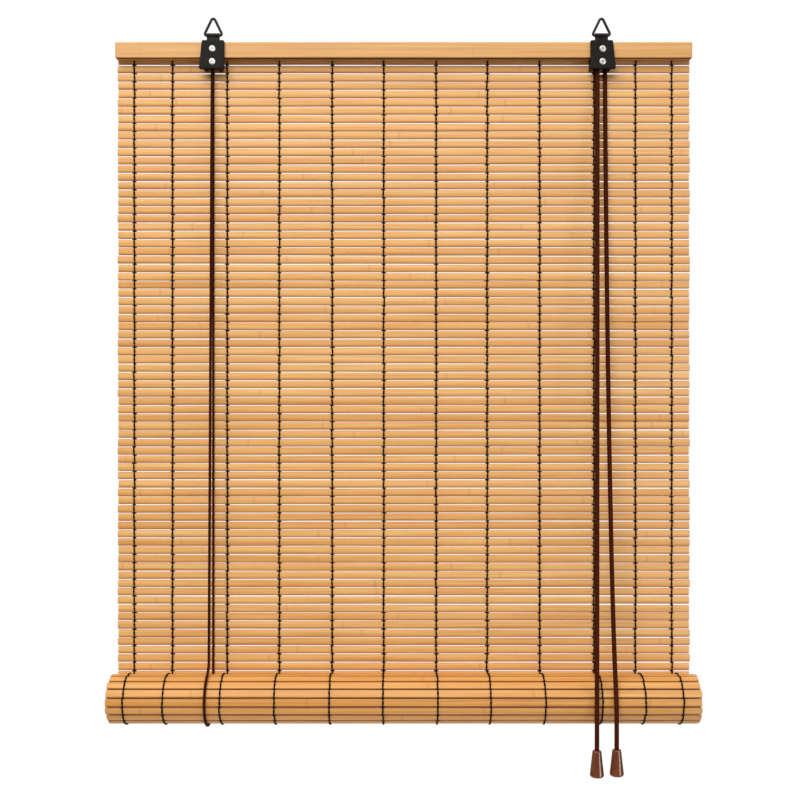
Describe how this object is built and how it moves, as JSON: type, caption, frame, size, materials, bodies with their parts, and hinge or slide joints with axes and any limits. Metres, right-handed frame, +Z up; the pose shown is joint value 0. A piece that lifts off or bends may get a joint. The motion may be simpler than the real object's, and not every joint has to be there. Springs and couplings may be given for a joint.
{
  "type": "bamboo roll up blind",
  "caption": "Bamboo slat roll up blind hung by wire rings, partly rolled up from below, with a head rail, black brackets and pull cords ending in wooden toggles.",
  "frame": {"origin": "midway between the eyes of the two hanging rings, on the line that runs through both eyes, where the hooks carry the blind", "axes": "+X along the slats to the right seen from the front, -Y to the front, +Z up"},
  "size_m": [0.6, 0.0684, 0.7722],
  "materials": {
    "bamboo": "split bamboo strips, satin skin, fine straight grain",
    "rail_wood": "bamboo covered rail, fine straight grain",
    "wood_bar": "planed softwood",
    "thread": "twisted dark brown thread",
    "cord": "braided dark red brown cord",
    "pull_cord": "braided dark red brown cord, thicker",
    "toggle_wood": "turned wood, mid brown lacquer",
    "cover": "matte black brown paint",
    "housing": "black moulded plastic",
    "strap_metal": "dark paint, worn lighter on the roll",
    "ring_wire": "dark bronzed wire",
    "screw_steel": "zinc plated",
    "steel": "plain steel",
    "nylon": "white nylon"
  },
  "bodies": {
    "blind": {"bottom_bar": "wood_bar", "cord_clips": "steel", "hanging_slats": "bamboo", "head_rail": "rail_wood", "left_cover": "cover", "left_housing": "housing", "left_lift_cord": "cord", "left_pull_cord": "pull_cord", "left_pull_knot": "pull_cord", "left_screws": "screw_steel", "left_stay_cord": "cord", "left_strap": "strap_metal", "left_toggle": "toggle_wood", "left_wheel_pin": "steel", "panel_nails": "steel", "right_cover": "cover", "right_housing": "housing", "right_lift_cord": "cord", "right_pull_cord": "pull_cord", "right_pull_knot": "pull_cord", "right_screws": "screw_steel", "right_strap": "strap_metal", "right_toggle": "toggle_wood", "right_wheel_pin": "steel", "rolled_slats": "bamboo", "warp_thread_01": "thread", "warp_thread_02": "thread", "warp_thread_03": "thread", "warp_thread_04": "thread", "warp_thread_05": "thread", "warp_thread_06": "thread", "warp_thread_07": "thread", "warp_thread_08": "thread", "warp_thread_09": "thread", "warp_thread_10": "thread", "warp_thread_11": "thread", "warp_thread_12": "thread", "wheel_nut": "steel", "wheel_spacer": "steel"},
    "left_ring": {"left_ring": "ring_wire"},
    "right_ring": {"right_ring": "ring_wire"},
    "left_cord_wheel": {"left_cord_wheel": "nylon"},
    "right_cord_wheel": {"right_cord_wheel": "nylon"},
    "sling_wheel": {"sling_wheel": "nylon"}
  },
  "joints": [
    {"name": "left_ring_swing", "type": "hinge", "parent": "blind", "child": "left_ring", "pos_m": [-0.1977, 0, -0.01585], "axis": [1, 0, 0], "range_deg": [-105, 135]},
    {"name": "right_ring_swing", "type": "hinge", "parent": "blind", "child": "right_ring", "pos_m": [0.2052, 0, -0.01585], "axis": [1, 0, 0], "range_deg": [-105, 135]},
    {"name": "left_cord_wheel_turn", "type": "hinge", "parent": "blind", "child": "left_cord_wheel", "pos_m": [-0.197, 0.0049, -0.04], "axis": [0, 1, 0], "continuous": true},
    {"name": "right_cord_wheel_turn", "type": "hinge", "parent": "blind", "child": "right_cord_wheel", "pos_m": [0.199, 0.0049, -0.04], "axis": [0, 1, 0], "continuous": true},
    {"name": "sling_wheel_turn", "type": "hinge", "parent": "blind", "child": "sling_wheel", "pos_m": [0.206, 0.009, -0.0435], "axis": [0, 1, 0], "continuous": true}
  ]
}
